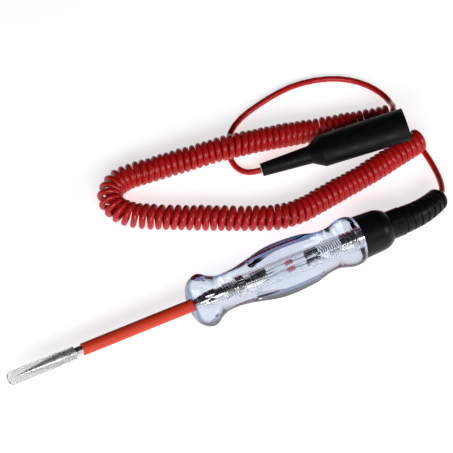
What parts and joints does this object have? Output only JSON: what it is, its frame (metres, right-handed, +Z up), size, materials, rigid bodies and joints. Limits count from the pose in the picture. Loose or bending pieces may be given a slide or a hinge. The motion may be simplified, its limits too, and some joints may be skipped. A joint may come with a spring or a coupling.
{
  "type": "circuit test light",
  "caption": "Automotive circuit test light: capped needle probe, clear faceted handle with a cartridge lamp, screw-on end cap and a curly lead with a booted clip.",
  "frame": {"origin": "on the floor under the middle of the rigid tool, from the tip cap's end to the end cap's rear face", "axes": "+X along the tool from the capped needle point towards the lead, +Z up, +Y to the side where the lead and clip lie"},
  "size_m": [0.2766, 0.1381, 0.0288],
  "materials": {
    "steel": "polished turned steel",
    "nickel": "bright nickel plate",
    "clear_plastic": "clear moulded acetate, faintly blue",
    "clear_cap": "clear soft vinyl",
    "sleeve_red": "satin orange-red insulation",
    "lamp_glass": "clear glass tube",
    "bead_red": "red bead",
    "filament": "drawn wire",
    "spring_steel": "zinc-plated spring wire",
    "collar_black": "black moulded plastic with a soft sheen",
    "boot_black": "black rubber",
    "cord_red": "glossy red cord jacket",
    "brass": "turned brass",
    "vinyl_black": "black soft vinyl"
  },
  "bodies": {
    "tool": {"probe_needle": "steel", "probe_sleeve": "sleeve_red", "probe_ferrule": "nickel", "probe_nut": "nickel", "front_contact": "nickel", "handle": "clear_plastic"},
    "tip_cap": {"tip_cap": "clear_cap"},
    "lamp": {"lamp_front_cap": "nickel", "lamp_rear_cap": "nickel", "lamp_glass": "lamp_glass", "lamp_supports": "filament", "lamp_filament": "filament", "lamp_bead": "bead_red", "lamp_spring": "spring_steel"},
    "lead": {"contact_pin": "nickel", "cable_crimp": "brass", "cord_lead_in": "cord_red", "strain_relief": "boot_black", "cord_handle_tail": "cord_red", "cord_coil": "cord_red", "cord_clip_tail": "cord_red", "cord_lead_out": "cord_red", "clip_boot": "vinyl_black", "clip_jaw_fixed": "steel", "clip_pivot": "steel", "clip_spring": "spring_steel", "clip_screw": "brass"},
    "end_cap": {"threaded_bush": "nickel", "end_collar": "collar_black"},
    "clip_jaw": {"clip_jaw_moving": "steel"}
  },
  "joints": [
    {"name": "tip_cap_pull", "type": "slide", "parent": "tool", "child": "tip_cap", "axis": [-1, 0, 0], "range_m": [0, 0.04]},
    {"name": "lamp_press", "type": "slide", "parent": "tool", "child": "lamp", "axis": [1, 0, 0], "range_m": [0, 0.0025], "stiffness_N_per_m": 1600, "springref_m": -0.001, "deforming": ["lamp_spring"]},
    {"name": "end_cap_travel", "type": "slide", "parent": "tool", "child": "lead", "axis": [1, 0, 0], "range_m": [0, 0.011]},
    {"name": "end_cap_turn", "type": "hinge", "parent": "lead", "child": "end_cap", "pos_m": [0.1045, 0, 0.01442], "axis": [1, 0, 0], "range_deg": [0, 1980]},
    {"name": "clip_open", "type": "hinge", "parent": "lead", "child": "clip_jaw", "pos_m": [0.12328, 0.06112, 0.01492], "axis": [-0.1787, 0.0401, 0.9831], "range_deg": [0, 12], "stiffness_Nm_per_rad": 0.25, "springref_deg": -28.65, "deforming": ["clip_spring"]}
  ],
  "couplings": [
    {"joint": "end_cap_turn", "follows": "end_cap_travel", "rad_per_m": 3141.6}
  ]
}
